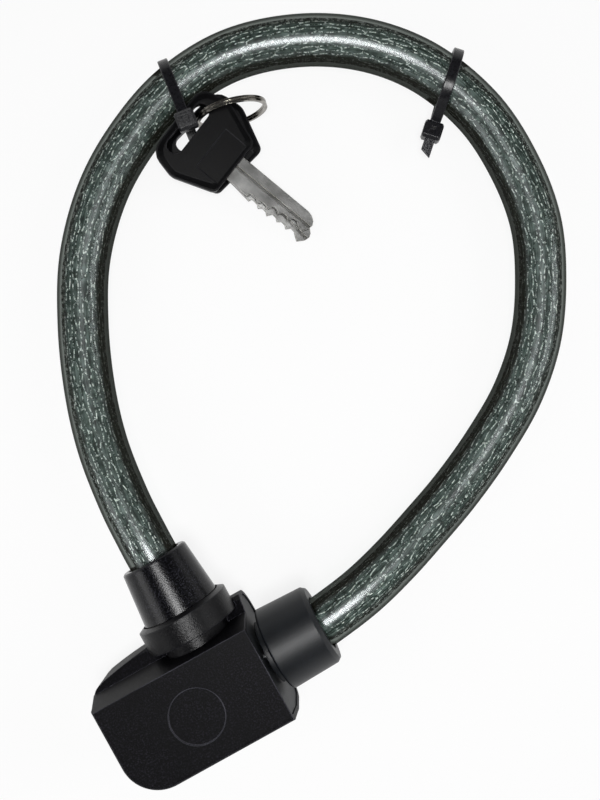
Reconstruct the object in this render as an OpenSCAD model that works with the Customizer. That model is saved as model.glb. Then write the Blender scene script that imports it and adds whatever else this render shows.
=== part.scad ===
// Cable lock: a 15 mm coated cable, closed into a loop by a keyed lock body.
// Origin: under the point where the bolt axis and the fixed cable's axis cross, on the back face.
// +X runs along the bolt, out of the body. +Y runs along the fixed cable end. +Z is the front.

/* [Lock body] */
// Thickness of the closed body, back face to front face
body_t = 32.5; // [31.5:0.25:36]
// Height of the bolt and cable axes above the back face
axis_z = 16.5; // [16.3:0.1:17]
// Half of the back shell's width
half_w = 18.5; // [18:0.1:22]
// From the cable axis to the body's bolt end
bolt_reach = 16; // [15.5:0.25:18]
// From the cable axis to the body's keyhole end
key_reach = 34.8; // [33.8:0.1:40]
// Height of the seam between the back shell and the front cover
seam_z = 17.5; // [17:0.1:18.5]
// Wall of the back shell
shell_wall = 2.2; // [1.6:0.1:2.4]
// Wall of the front cover
cover_wall = 1.9; // [1.4:0.1:2]
// Radius of the back shell's back edges
back_r = 8; // [4:0.5:9]
// Radius of the front face's rounded corner
face_corner_r = 10; // [6:0.5:11]
// How far the front cover leans out from its face to the seam
cover_lean = 3.3; // [2:0.1:4]
// Set-back of the front face from the shell's side, on the cable side
cable_setback = 6.1; // [5.8:0.1:7]
// Diameter of the bare round recess in the front face
recess_d = 15.8; // [8:0.2:20]
// Depth of that recess
recess_depth = 0.4; // [0.2:0.05:0.8]
// Thickness of the end plate round the bolt
end_plate_t = 1.4; // [1:0.1:1.6]

/* [Cable] */
// Outside diameter of the cable
cable_d = 15; // [12:0.5:15]
// Wall of the clear jacket
jacket_wall = 3.6; // [2.5:0.1:4.2]

/* [Fixed end] */
// Diameter of the boss that the fixed cable end turns in
boss_d = 27.9; // [26.5:0.1:28.1]
// From the bolt axis to the boss's rim
boss_reach = 23.3; // [22.5:0.1:26]
// Diameter of the neck between the body and the boss
boss_neck_d = 20; // [18:0.5:21]
// Diameter of the fixed collar where it meets the boss
collar_foot_d = 23.5; // [22.5:0.1:24.5]
// Diameter of the fixed collar at its mouth
collar_mouth_d = 20.2; // [19.8:0.1:22]
// From the bolt axis to the fixed collar's mouth
collar_reach = 40.5; // [40:0.1:41]
// Diameter of the fixed end's stub
stub_d = 14; // [13:0.1:14.4]
// Diameter of the pin that keeps the stub in the body
stub_pin_d = 3; // [2:0.1:3.2]

/* [Removable end] */
// Diameter of the locking bolt
bolt_d = 10; // [9:0.1:10.4]
// Diameter of the bolt in its locking groove
groove_d = 6.6; // [6:0.1:7.2]
// Width of the locking groove
groove_w = 3.6; // [3.4:0.1:4.2]
// How far the bolt's nose reaches past the cable axis
nose_reach = 9.8; // [9.2:0.1:10]
// Diameter of the removable ferrule at the body
ferrule_d = 25; // [23.5:0.1:27]
// Taper of the ferrule's diameter along its length
ferrule_taper = 1; // [0:0.1:2]
// Length of the ferrule
ferrule_l = 16; // [15.5:0.1:16.5]

/* [Cylinder and latch] */
// Diameter of the key cylinder
cylinder_d = 17; // [16:0.1:17.4]
// Diameter of the turning plug
plug_d = 12; // [11.6:0.1:12.4]
// Pitch of the wafers along the plug
wafer_pitch = 2.4; // [2:0.05:2.5]
// Radius at which the cam's peg runs
peg_r = 3; // [2.6:0.05:3.1]
// Diameter of the cam's peg
peg_d = 3; // [2.4:0.1:3.2]
// Thickness of the latch plates
latch_t = 2.4; // [2:0.1:2.6]

/* [Keys] */
// Width of the key blade
blade_w = 8.2; // [7.4:0.1:8.4]
// Thickness of the key blade
blade_t = 2; // [1.6:0.1:2.2]
// Length of the blade beyond the bow
blade_l = 28.6; // [24:0.2:30]
// Thickness of the moulded bow
bow_t = 4.2; // [3.8:0.1:4.3]
// Outer diameter of the split ring
ring_d = 22.4; // [22:0.1:24]

/* [Ties] */
// Width of the cable tie straps
strap_w = 3.1; // [2.5:0.1:3.6]
// Thickness of the cable tie straps
strap_t = 1.1; // [0.8:0.1:1.2]

/* [Hidden] */
$fn = 64;

// Clearances
seat_gap = 0.15;
slide_gap = 0.15;
turn_gap = 0.05;
cut = 1;

// Front cover, seen from the front: x runs to the bolt end, y to the cable side
face_x0 = -key_reach + cover_lean + 0.3;
face_y0 = -half_w + cover_lean;
face_y1 = half_w - cable_setback;
cable_side_lean = 1.5;
edge_h = 3.3;
edge_w = 1.5;
edge_steps = 6;

// Back shell
shell_corner_r = face_corner_r + cover_lean;
shoulder_w = half_w - face_y1 - cable_side_lean;
shoulder_h = 4.9;
sweep_r = 135;
sweep_x = -4;
sweep_end_r = 3.4;
sweep_end_y = half_w - sweep_end_r - 3;

// Bare recess in the front face
recess_x = (face_x0 + bolt_reach) / 2 + 0.6;
recess_y = (face_y0 + face_y1) / 2 - 0.8;

// Boss for the fixed cable end, set off from the cover by its neck
boss_foot = 8;
boss_y0 = half_w - shell_wall + 0.1;
boss_gap = 0.3;
neck_cut_y0 = 10;

// End plate, sunk in the mouth of the two covers
rim_w = 1.2;
plate_sink = 0.4;
plate_x1 = bolt_reach - plate_sink;
plate_x0 = plate_x1 - end_plate_t;

// Lock case
case_x0 = face_x0 + cover_wall + 0.6;
case_x1 = plate_x0;
case_gap = seat_gap;

// Latch: two plates joined by a foot, moved along z by the cam's peg
groove_x1 = -3;
groove_x0 = groove_x1 - groove_w;
plate1_x1 = groove_x1 - (groove_w - latch_t) / 2;
plate1_x0 = plate1_x1 - latch_t;
nose_gap = 1.3;
plate2_x1 = -nose_reach - nose_gap;
plate2_x0 = plate2_x1 - latch_t;
peg_angle = 45;
throw = 2 * peg_r * sin(peg_angle);
peg_x1 = plate2_x1 + 0.1;
cover_plate_t = 1.2;
foot_z0 = shell_wall + case_gap + cover_plate_t + 0.3;
foot_t = 2.2;
latch_half_w = 7.4;
arm_half_w = 6.2;
latch_top = axis_z + bolt_d / 2 + 2.9;
arm_top = axis_z + 1.9;

// Cam and key cylinder, from the latch out to the keyhole
run_gap = 0.4;
cam_t = 2.2;
cam_x1 = plate2_x0 - run_gap;
cam_x0 = cam_x1 - cam_t;
cam_d = plug_d - 0.6;
clip_t = 0.8;
plug_x1 = cam_x0 - run_gap - clip_t;
tail_d = 8;
tail_flat = 2.9;
face_sink = 0.8;
cyl_x0 = -key_reach + face_sink;
cyl_x1 = plug_x1 - 0.2;
flange_d = plug_d + 1.5;
flange_t = 1.2;
wafer_t = 0.9;
wafer_w = 5.8;
spring_d = 0.8;
spring_l = 3.9;
wafer_x0 = cyl_x0 + 3;
wafer_count = floor((cyl_x1 - 2 - wafer_x0) / wafer_pitch) + 1;
wafer_x1 = wafer_x0 + (wafer_count - 1) * wafer_pitch;
cyl_pin_d = 2.5;
cyl_pin_x = cyl_x1 - 2 * cyl_pin_d + 0.5;
cyl_pin_y = -cylinder_d / 2 - 0.4;

// Cable ends: each is swaged into a cup inside its collar
cup_wall = 0.95;
cup_bore = cable_d + 0.5;
cup_d = cup_bore + 2 * cup_wall;
mouth_bore = cable_d + 1.4;
lip_t = 1.6;
cup_depth = 10;

// Fixed end
stub_y0 = 9.7;
stub_groove_d = stub_d - 3.4;
stub_pin_y = 13.9;
stub_pin_z = axis_z - stub_groove_d / 2 - stub_pin_d / 2 - 0.1;
stub_pin_l = 22;
collar_y0 = boss_reach - 1;
stub_cup_y0 = collar_y0 + 1.6;
boss_cone = 0.9;
well_d = collar_foot_d + 0.7;

// Removable end
ferrule_x0 = bolt_reach + 0.4;
neck_l = 1.7;
neck_d = 19;
ferrule_x1 = ferrule_x0 + neck_l + ferrule_l;
bolt_cup_x0 = ferrule_x0 + neck_l + 0.4;
bolt_cup_x1 = ferrule_x1 - lip_t - 0.2;
nose_taper = 1.6;

// Cable route: centre line from the removable end round to the fixed end
route = [[22.6, 0, 16.5], [28, 0, 16.5], [34, 0.2, 16.5], [48, 2, 15.7], [61, 5, 13.8],
    [74, 9, 11.6], [88, 14, 10], [103, 21, 9.2], [118, 30, 9], [131, 42, 9], [141, 57, 9],
    [148, 73, 9], [150.5, 91, 9], [149, 110, 9], [141.5, 129, 9], [129, 144, 9],
    [112, 155, 9], [92, 161, 9], [72, 160, 9], [54, 153.5, 9], [38, 143.5, 9],
    [24, 129, 9], [14, 112, 9.3], [6.5, 94, 10.3], [2, 77, 12.2], [0.2, 60, 14.6], [0, 47, 16.2],
    [0, 40, 16.5], [0, 33, 16.5], [0, 26.6, 16.5]];
cable_sides = 12;
rope_r = cable_d / 2 - jacket_wall - 0.1;

// Keys, hung on the ring and the tie by the slots in their bows
bow_l = 21.8;
bow_shoulder = 9.4;
bow_half_w = 14;
bow_wide_u = 13;
bow_back = 11.8;
bow_rim = 1.7;
bow_shoulder_r = 2;
bow_side_r = 5;
bow_back_r = 4.5;
panel_u0 = -9;
panel_u1 = -1.2;
panel_half_w = 7;
panel_depth = 0.3;
bow_core_t = 2.6;
tang_l = 9;
key_groove_v = 0.6;
key_groove_w = 0.8;
key_groove_t = 0.45;
slot_u = -17.5;
slot_l = 17.2;
slot_w = 4.8;
key_yaw = -66.9;
key_tilt = 10.5;
key_gap = 0.4;
lower_key_slip = 1.6;
lower_key_side = 3;
lower_key_yaw = -7;
hang_x = 69.4;
hang_y = 146.2;
ring_wire = 0.8;
ring_lean = 90;
ring_r = ring_d / 2 - ring_wire;
ring_rest = 0.1;
ring_z = ring_r * sin(ring_lean) + ring_wire + ring_rest;
key_lift = 1;
hang_z = ring_z + key_lift;
ring_yaw = -13.5;
ring_slot_u = 0.5;
ring_slot_v = 4.1;

// Ties
tie_gap = 0.3;
tie_cable_z = 9;
tie_bend_r = 0.9;
head_l = 5.4;
head_w = strap_w + 2.7;
head_t = 4.4;
key_tie_x = 71.9;
key_tie_y = 159.9;
key_tie_yaw = -7;
key_tie_play = 0.5;
key_tie_over = 1.6;
key_tie_under = 2.8;
key_tie_top = 1.6;
key_tie_low = 0.1;
key_head_at = -2.6;
key_head_lean = 8;
loop_tie_x = 145.2;
loop_tie_y = 122.1;
loop_tie_yaw = 223.4;
loop_play = 1.1;
loop_neck = 2.6;
loop_neck_z = 7.2;
loop_neck_r = 1.2;
loop_tail_l = 5.6;
loop_tail_cut = 1.8;
loop_tail_lean = 14;

// ---- Helpers ----

// Extrudes a (y, z) outline along x
module along_x(x0, x1) {
    translate([x0, 0, 0]) rotate([90, 0, 90]) linear_extrude(x1 - x0) children();
}

// Extrudes an (x, z) outline along y
module along_y(y0, y1) {
    translate([0, y1, 0]) rotate([90, 0, 0]) linear_extrude(y1 - y0) children();
}

// A rod on the bolt axis
module rod_x(d, x0, x1) {
    translate([x0, 0, axis_z]) rotate([0, 90, 0]) cylinder(d = d, h = x1 - x0);
}

// A rod on the fixed cable's axis
module rod_y(d, y0, y1) {
    translate([0, y0, axis_z]) rotate([-90, 0, 0]) cylinder(d = d, h = y1 - y0);
}

// Turns an outline of (radius, x) points about the bolt axis
module turned_x(points) {
    translate([0, 0, axis_z]) rotate([0, 90, 0]) rotate_extrude() polygon(points);
}

// Turns an outline of (radius, y) points about the fixed cable's axis
module turned_y(points) {
    translate([0, 0, axis_z]) rotate([-90, 0, 0]) rotate_extrude() polygon(points);
}

module block(low, high) {
    translate(low) cube(high - low);
}

// A polygon's corners rounded to the radii given, each as an arc of a few points
function corner_arc(a, b, c, r) =
    let (u = (a - b) / norm(a - b), v = (c - b) / norm(c - b))
    let (half = acos(u * v) / 2, reach = r / tan(half))
    let (centre = b + (u + v) / norm(u + v) * r / sin(half))
    let (p = b + u * reach - centre, q = b + v * reach - centre)
    let (sweep = 180 - 2 * half, turn = sign(p[0] * q[1] - p[1] * q[0]))
    [for (i = [0:4]) let (t = turn * sweep * i / 4)
        centre + [p[0] * cos(t) - p[1] * sin(t), p[0] * sin(t) + p[1] * cos(t)]];
function rounded(points, radii) =
    let (n = len(points))
    [for (i = [0:n - 1]) each corner_arc(points[(i + n - 1) % n], points[i], points[(i + 1) % n], radii[i])];

// ---- Body forms, shrunk by g for the cavities and what fills them ----

// Side of the front cover: how far it leans out from the face's edge, and at what height
function cover_edge(g) = [
    for (i = [0:edge_steps]) let (a = 90 * i / edge_steps)
        [edge_w * sin(a), body_t - g - edge_h * (1 - cos(a))],
    [cover_lean, seam_z]];

// Cross-section of the front cover, (y, z)
module cover_section(g) {
    low = [for (p = cover_edge(g)) [face_y0 + g - p[0], p[1]]];
    polygon(concat(low, [[face_y1 - g + cable_side_lean, seam_z], [face_y1 - g, body_t - g]]));
}

module cover_form(g, x1) {
    corner_x = face_x0 + face_corner_r;
    corner_y = face_y0 + face_corner_r;
    left = [for (p = cover_edge(g)) [face_x0 + g - p[0], p[1]]];
    rim = [for (p = cover_edge(g)) [face_corner_r - g + p[0], p[1]]];
    along_x(corner_x, x1) cover_section(g);
    intersection() {
        along_x(-key_reach - cut, corner_x) cover_section(g);
        along_y(corner_y, half_w)
            polygon(concat(left, [[corner_x, seam_z], [corner_x, body_t - g]]));
    }
    translate([corner_x, corner_y, 0]) rotate([0, 0, 180]) rotate_extrude(angle = 90)
        polygon(concat(rim, [[0, seam_z], [0, body_t - g]]));
}

// Back edge and side of the shell, (distance out from centre, z), half width w
module shell_half(w, g) {
    r = back_r - g;
    square_top = seam_z;
    translate([0, back_r]) square([w, square_top - back_r]);
    translate([0, g]) square([w - r, back_r - g + 0.001]);
    translate([w - r, back_r]) circle(r);
}

// Cross-section of the back shell, (y, z), with its shoulder on the cable side
module shell_section(g) {
    w = half_w - g;
    foot = face_y1 + cable_side_lean - g;
    difference() {
        union() {
            shell_half(w, g);
            mirror([1, 0]) shell_half(w, g);
        }
        polygon([[foot, seam_z], [foot + shoulder_w * 0.76, seam_z - shoulder_h * 0.58],
            [w, seam_z - shoulder_h], [w + cut, seam_z - shoulder_h], [w + cut, seam_z + cut],
            [foot, seam_z + cut]]);
        translate([-w - cut, seam_z]) square([2 * w + 2 * cut, back_r]);
    }
}

module shell_form(g, x1) {
    corner_x = -key_reach + shell_corner_r;
    corner_y = -half_w + shell_corner_r;
    intersection() {
        union() {
            along_x(corner_x, x1) shell_section(g);
            intersection() {
                along_x(-key_reach - cut, corner_x) shell_section(g);
                along_y(corner_y, half_w) intersection() {
                    translate([corner_x, 0]) mirror([1, 0]) shell_half(shell_corner_r - g, g);
                    translate([-key_reach - cut, 0]) square([shell_corner_r + cut, seam_z]);
                }
            }
            translate([corner_x, corner_y, 0]) rotate([0, 0, 180]) rotate_extrude(angle = 90)
                intersection() {
                    shell_half(shell_corner_r - g, g);
                    square([shell_corner_r, seam_z]);
                }
        }
        translate([0, 0, -cut]) linear_extrude(seam_z + 2 * cut) shell_plan(g, x1);
    }
}

// Outline of the shell from the front: the cable side draws in towards the keyhole end
module shell_plan(g, x1) {
    deep = half_w + cut;
    end_x = sweep_end_r - key_reach;
    translate([sweep_x, -deep]) square([x1 + cut - sweep_x, 2 * deep]);
    intersection() {
        translate([sweep_x, half_w - sweep_r]) circle(sweep_r - g);
        union() {
            translate([-key_reach - cut, -deep]) square([key_reach + 2 * cut, deep + sweep_end_y]);
            translate([end_x, -deep]) square([cut - end_x, 2 * deep]);
            translate([end_x, sweep_end_y]) circle(sweep_end_r - g);
        }
    }
}

// ---- Lock body ----

// Room for the boss and its neck
module boss_room() {
    rod_y(boss_neck_d + boss_gap, neck_cut_y0, half_w + cut);
    rod_y(boss_d + boss_gap, boss_y0 - seat_gap, half_w + cut);
}

module back_shell() {
    color("#1d1e21") difference() {
        shell_form(0, bolt_reach);
        shell_form(shell_wall, case_x1);
        shell_form(rim_w, bolt_reach + cut);
        rod_x(cylinder_d + 0.6, -key_reach - cut, case_x0 + cut);
        boss_room();
    }
}

module front_cover() {
    color("#202126") difference() {
        cover_form(0, bolt_reach);
        cover_form(cover_wall, case_x1);
        cover_form(rim_w, bolt_reach + cut);
        rod_x(cylinder_d + 0.6, -key_reach - cut, case_x0 + cut);
        boss_room();
        translate([recess_x, recess_y, body_t - recess_depth])
            cylinder(d = recess_d, h = recess_depth + cut);
    }
}

module end_plate() {
    gap = rim_w + seat_gap;
    color("#6a6c6e") difference() {
        intersection() {
            union() {
                shell_form(gap, plate_x1);
                cover_form(gap, plate_x1);
            }
            block([plate_x0, -half_w, 0], [plate_x1, half_w, body_t]);
        }
        rod_x(bolt_d + 0.8, plate_x0 - cut, plate_x1 + cut);
        rod_y(boss_neck_d + 2 * seat_gap, boss_foot - boss_gap, half_w + cut);
        rod_y(boss_d + 2 * seat_gap, boss_y0 - boss_gap, half_w + cut);
    }
}

// Die-cast case that fills the covers and carries the boss, the bores and the latch's pocket
module lock_case() {
    color("#8b8d90") difference() {
        union() {
            intersection() {
                union() {
                    shell_form(shell_wall + case_gap, case_x1);
                    cover_form(cover_wall + case_gap, case_x1);
                }
                block([case_x0, -half_w, 0], [case_x1, half_w, body_t]);
            }
            turned_y([[0, boss_foot], [boss_neck_d / 2, boss_foot], [boss_neck_d / 2, boss_y0],
                [boss_d / 2, boss_y0], [boss_d / 2, boss_reach],
                [well_d / 2, boss_reach + boss_cone], [0, boss_reach + boss_cone]]);
        }
        rod_x(bolt_d + 0.4, plate2_x0 - 0.2, case_x1 + cut);
        rod_x(cylinder_d + 2 * turn_gap, case_x0 - cut, cyl_x1);
        rod_x(cam_d + 0.8, cyl_x1 - cut, plate2_x0);
        rod_y(stub_d + 2 * turn_gap, stub_y0 - 0.2, boss_reach + 2);
        rod_y(well_d, collar_y0 - 0.3, boss_reach + 2);
        latch_pocket();
        translate([cyl_pin_x, cyl_pin_y, 0])
            cylinder(d = cyl_pin_d + 2 * turn_gap, h = axis_z + cylinder_d / 2);
        translate([-half_w, stub_pin_y, stub_pin_z])
            rotate([0, 90, 0]) cylinder(d = stub_pin_d + 2 * turn_gap, h = 2 * half_w);
    }
}

// Room for the latch and its stroke, open to the back, with a recess for its cover
module latch_pocket() {
    side = latch_half_w + slide_gap;
    arm = arm_half_w + slide_gap;
    block([plate1_x0 - slide_gap, -side, 0],
        [plate1_x1 + slide_gap, side, latch_top + throw + 0.4]);
    block([plate2_x0 - slide_gap, -arm, 0],
        [plate2_x1 + slide_gap, arm, arm_top + throw + 0.4]);
    block([plate2_x0 - slide_gap, -arm, 0],
        [plate1_x1 + slide_gap, arm, foot_z0 + foot_t + throw + 0.3]);
    block([plate2_x0 - 3, -latch_half_w - 3, 0],
        [plate1_x1 + 3, latch_half_w + 3, foot_z0 - 0.3]);
}

module latch_cover() {
    color("#9a9c9e")
        block([plate2_x0 - 3 + seat_gap, -latch_half_w - 3 + seat_gap, shell_wall + case_gap],
            [plate1_x1 + 3 - seat_gap, latch_half_w + 3 - seat_gap, foot_z0 - 0.3]);
}

// ---- Key cylinder ----

module cylinder_housing() {
    groove = wafer_w + 0.4;
    color("#b9a45c") difference() {
        rod_x(cylinder_d, cyl_x0, cyl_x1);
        rod_x(plug_d + 2 * turn_gap, cyl_x0 - cut, cyl_x1 + cut);
        rod_x(flange_d + 2 * turn_gap, cyl_x0 - cut, cyl_x0 + flange_t);
        block([wafer_x0 - wafer_t, -groove / 2, axis_z - plug_d / 2 - 1.2],
            [wafer_x1 + wafer_t, groove / 2, axis_z + plug_d / 2 + 1.2]);
        translate([cyl_pin_x, cyl_pin_y, 0])
            cylinder(d = cyl_pin_d + 2 * turn_gap, h = axis_z + cylinder_d);
    }
}

module cylinder_pin() {
    z0 = shell_wall + case_gap + 0.3;
    color("#7f8285") translate([cyl_pin_x, cyl_pin_y, z0]) difference() {
        cylinder(d = cyl_pin_d, h = axis_z + cylinder_d / 2 - z0 - 0.5);
        translate([0, 0, -cut]) cylinder(d = cyl_pin_d * 0.5, h = axis_z + cylinder_d);
    }
}

// Section of the keyhole, (y, z), with the ward that runs in the key's groove
module keyway_section(clear) {
    h = blade_w / 2 + clear;
    w = blade_t / 2 + clear;
    difference() {
        square([2 * w, 2 * h], center = true);
        translate([w, key_groove_v])
            square([2 * key_groove_t - 0.2, key_groove_w - 0.2], center = true);
    }
}

module cylinder_plug() {
    color("#c9b56a") difference() {
        union() {
            rod_x(plug_d, cyl_x0, plug_x1);
            rod_x(flange_d, cyl_x0, cyl_x0 + flange_t - 0.1);
            rod_x(tail_d, plug_x1 - cut, cam_x1 - 0.3);
        }
        translate([0, 0, axis_z]) along_x(cyl_x0 - cut, plug_x1 - 1.2)
            keyway_section(0.15);
        for (i = [0:wafer_count - 1]) {
            x = wafer_x0 + i * wafer_pitch;
            block([x - wafer_t / 2 - 0.05, -wafer_w / 2 - 0.05, axis_z - plug_d],
                [x + wafer_t / 2 + 0.05, wafer_w / 2 + 0.05, axis_z + plug_d]);
            block([x - wafer_t / 2 - 0.05, wafer_w / 2 - 0.05, axis_z - 3],
                [x + wafer_t / 2 + 0.05, wafer_w / 2 + 1.15, axis_z + 2]);
        }
        for (side = [-1, 1])
            translate([cam_x0 - 0.1, side * (tail_flat + tail_d / 2), axis_z])
                cube([3 * cam_t, tail_d, 2 * tail_d], center = true);
        difference() {
            rod_x(tail_d + cut, plug_x1 + 0.1, plug_x1 + 0.1 + clip_t + 0.1);
            rod_x(tail_d - 1.4, plug_x1, plug_x1 + clip_t + 0.5);
        }
    }
}

// Spring-loaded plates that a key lines up with the plug's surface
module wafers() {
    window_h = blade_w / 2 + 0.3;
    color("#d0c07c") for (i = [0:wafer_count - 1])
        translate([wafer_x0 + i * wafer_pitch - wafer_t / 2, 0, 0]) along_x(0, wafer_t)
            translate([0, axis_z]) difference() {
                union() {
                    intersection() {
                        circle(d = plug_d - 0.1);
                        square([wafer_w, plug_d], center = true);
                    }
                    translate([wafer_w / 2 - 0.2, 1]) square([1.2, 0.8]);
                }
                square([blade_t + 0.9, 2 * window_h], center = true);
            }
}

module wafer_springs() {
    color("#a8aaad") for (i = [0:wafer_count - 1])
        translate([wafer_x0 + i * wafer_pitch, wafer_w / 2 + 0.55, axis_z - 2.95])
            cylinder(d = spring_d, h = spring_l);
}

// Open ring in the tail's groove that holds the plug in the housing
module plug_clip() {
    x0 = plug_x1 + 0.15;
    color("#8f9194") difference() {
        rod_x(tail_d + 2.6, x0, x0 + clip_t);
        rod_x(tail_d - 1.2, x0 - cut, x0 + clip_t + cut);
        block([x0 - cut, -2.2, axis_z], [x0 + clip_t + cut, 2.2, axis_z + tail_d]);
    }
}

// Disc on the plug's tail, with the peg that moves the latch
module drive_cam() {
    color("#a09a86") {
        difference() {
            rod_x(cam_d, cam_x0, cam_x1);
            intersection() {
                rod_x(tail_d + 0.1, cam_x0 - cut, cam_x1 - 0.2);
                block([cam_x0 - cut, -tail_flat - 0.05, axis_z - tail_d],
                    [cam_x1, tail_flat + 0.05, axis_z + tail_d]);
            }
        }
        translate([cam_x1 - 0.1, peg_r * cos(peg_angle), axis_z - peg_r * sin(peg_angle)])
            rotate([0, 90, 0]) cylinder(d = peg_d, h = peg_x1 - cam_x1 + 0.1);
    }
}

// ---- Latch ----

module latch() {
    peg_z = axis_z - throw / 2;
    peg_half = peg_d / 2 + slide_gap;
    color("#b4b6b8") difference() {
        union() {
            block([plate1_x0, -latch_half_w, foot_z0], [plate1_x1, latch_half_w, latch_top]);
            block([plate2_x0, -arm_half_w, foot_z0], [plate2_x1, arm_half_w, arm_top]);
            block([plate2_x0, -arm_half_w, foot_z0], [plate1_x1, arm_half_w, foot_z0 + foot_t]);
        }
        // Wide hole that lets the bolt pass, over the narrow one that holds its groove
        rod_x(bolt_d + 0.6, plate1_x0 - 0.5, plate1_x1 + cut);
        translate([0, 0, -throw]) rod_x(groove_d + 0.5, plate1_x0 - 0.5, plate1_x1 + cut);
        // Slot for the cam's peg
        block([plate2_x0 - cut, peg_r * cos(peg_angle) - peg_half, peg_z - peg_half],
            [plate2_x1 + 0.5, peg_r + peg_half, peg_z + peg_half]);
    }
}

// ---- Removable end ----

module locking_bolt() {
    r = bolt_d / 2;
    x0 = -nose_reach;
    color("#b9bcbf") turned_x([[0, x0], [r - nose_taper, x0], [r, x0 + nose_taper],
        [r, groove_x0], [groove_d / 2, groove_x0], [groove_d / 2, groove_x1], [r, groove_x1],
        [r, bolt_cup_x0], [cup_d / 2, bolt_cup_x0], [cup_d / 2, bolt_cup_x1],
        [cup_bore / 2, bolt_cup_x1], [cup_bore / 2, route[0][0] - 0.3], [0, route[0][0] - 0.3]]);
}

module removable_ferrule() {
    r0 = ferrule_d / 2;
    r1 = r0 - ferrule_taper / 2;
    x0 = ferrule_x0;
    x1 = ferrule_x1;
    body_x = x0 + neck_l;
    bolt_r = bolt_d / 2 + 0.1;
    cup_r = cup_d / 2 + 0.1;
    color("#2b2c2f") turned_x([[bolt_r, x0], [neck_d / 2, x0], [neck_d / 2, body_x],
        [r0 - 0.5, body_x], [r0, body_x + 0.5], [r1, x1 - 1.2], [r1 - 0.9, x1],
        [mouth_bore / 2, x1], [mouth_bore / 2, x1 - lip_t], [cup_r, x1 - lip_t],
        [cup_r, bolt_cup_x0 - 0.1], [bolt_r, bolt_cup_x0 - 0.1]]);
}

// ---- Fixed end ----

module fixed_stub() {
    r = stub_d / 2;
    gr = stub_groove_d / 2;
    cup_y1 = collar_reach - lip_t - 0.2;
    y_end = route[len(route) - 1][1] - 0.3;
    g0 = stub_pin_y - stub_pin_d / 2 - 0.2;
    g1 = stub_pin_y + stub_pin_d / 2 + 0.2;
    color("#a6a9ac") turned_y([[0, stub_y0], [r - 0.8, stub_y0], [r, stub_y0 + 0.8], [r, g0],
        [gr, g0], [gr, g1], [r, g1], [r, stub_cup_y0], [cup_d / 2, stub_cup_y0],
        [cup_d / 2, cup_y1], [cup_bore / 2, cup_y1], [cup_bore / 2, y_end], [0, y_end]]);
}

module stub_pin() {
    color("#7f8285") translate([-stub_pin_l / 2, stub_pin_y, stub_pin_z]) rotate([0, 90, 0])
        cylinder(d = stub_pin_d, h = stub_pin_l);
}

module fixed_collar() {
    r0 = collar_foot_d / 2;
    r1 = collar_mouth_d / 2;
    cup_r = cup_d / 2 + 0.1;
    stub_r = stub_d / 2 + 0.1;
    color("#26272a") turned_y([[stub_r, collar_y0], [r0 - 0.3, collar_y0], [r0, collar_y0 + 0.3],
        [r1, collar_reach - 0.5], [r1 - 0.5, collar_reach], [mouth_bore / 2, collar_reach],
        [mouth_bore / 2, collar_reach - lip_t], [cup_r, collar_reach - lip_t],
        [cup_r, stub_cup_y0 - 0.1], [stub_r, stub_cup_y0 - 0.1]]);
}

// ---- Cable ----

// A smooth curve through the route's points
function on_curve(a, b, c, d, t) =
    0.5 * (2 * b + (c - a) * t + (2 * a - 5 * b + 4 * c - d) * t * t
        + (3 * b - a - 3 * c + d) * t * t * t);
last = len(route) - 1;
line = [for (i = [0:last - 1]) each
        let (a = route[max(i - 1, 0)], b = route[i], c = route[i + 1], d = route[min(i + 2, last)])
        (i == 0 || i >= last - 3) ? [b] : [b, on_curve(a, b, c, d, 0.5)],
    route[last]];
rings = len(line);

// Corners of one ring round the line, square to it
function ring_points(i, r) =
    let (t = line[min(i + 1, rings - 1)] - line[max(i - 1, 0)])
    let (dir = t / norm(t), s = cross(dir, [0, 0, 1]), side = s / norm(s), up = cross(side, dir))
    [for (k = [0:cable_sides - 1]) let (a = 360 * (k + 0.5) / cable_sides)
        line[i] + r * (cos(a) * side + sin(a) * up)];

// Triangles that join ring i to the next, from point number first
function wall_faces(first, flip) = [
    for (i = [0:rings - 2]) for (k = [0:cable_sides - 1])
        let (a = first + i * cable_sides + k, b = first + i * cable_sides + (k + 1) % cable_sides)
        let (c = a + cable_sides, d = b + cable_sides)
        each flip ? [[a, c, b], [b, c, d]] : [[a, b, c], [b, d, c]]];

module cable_jacket() {
    m = cable_sides;
    n = rings * m;
    outer = [for (i = [0:rings - 1]) each ring_points(i, cable_d / 2)];
    inner = [for (i = [0:rings - 1]) each ring_points(i, cable_d / 2 - jacket_wall)];
    end = n - m;
    ends = [for (k = [0:m - 1]) let (j = (k + 1) % m)
        each [[k, n + k, j], [j, n + k, n + j],
            [end + k, end + j, end + n + k], [end + j, end + n + j, end + n + k]]];
    color("#5b6460", 0.6)
        polyhedron(concat(outer, inner), concat(wall_faces(0, false), wall_faces(n, true), ends));
}

module cable_rope() {
    m = cable_sides;
    end = (rings - 1) * m;
    points = [for (i = [0:rings - 1]) each ring_points(i, rope_r)];
    caps = [[for (k = [m - 1:-1:0]) k], [for (k = [0:m - 1]) end + k]];
    color("#46504b") polyhedron(points, concat(wall_faces(0, false), caps));
}

// ---- Keys ----

// Moves a key from its own frame, blade along +x and bow behind the origin, to its slot's place
module hung_key(level, slip, side, yaw) {
    translate([hang_x, hang_y, hang_z]) rotate([0, 0, key_yaw + yaw]) rotate([0, key_tilt, 0])
        translate([-slot_u + slip, side, level * (bow_t + key_gap) / 2]) children();
}

module slot_outline(grow) {
    r = slot_w / 2 + grow;
    reach = (slot_l - slot_w) / 2;
    translate([slot_u, -reach]) circle(r);
    translate([slot_u, reach]) circle(r);
    translate([slot_u - r, -reach]) square([2 * r, 2 * reach]);
}

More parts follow.
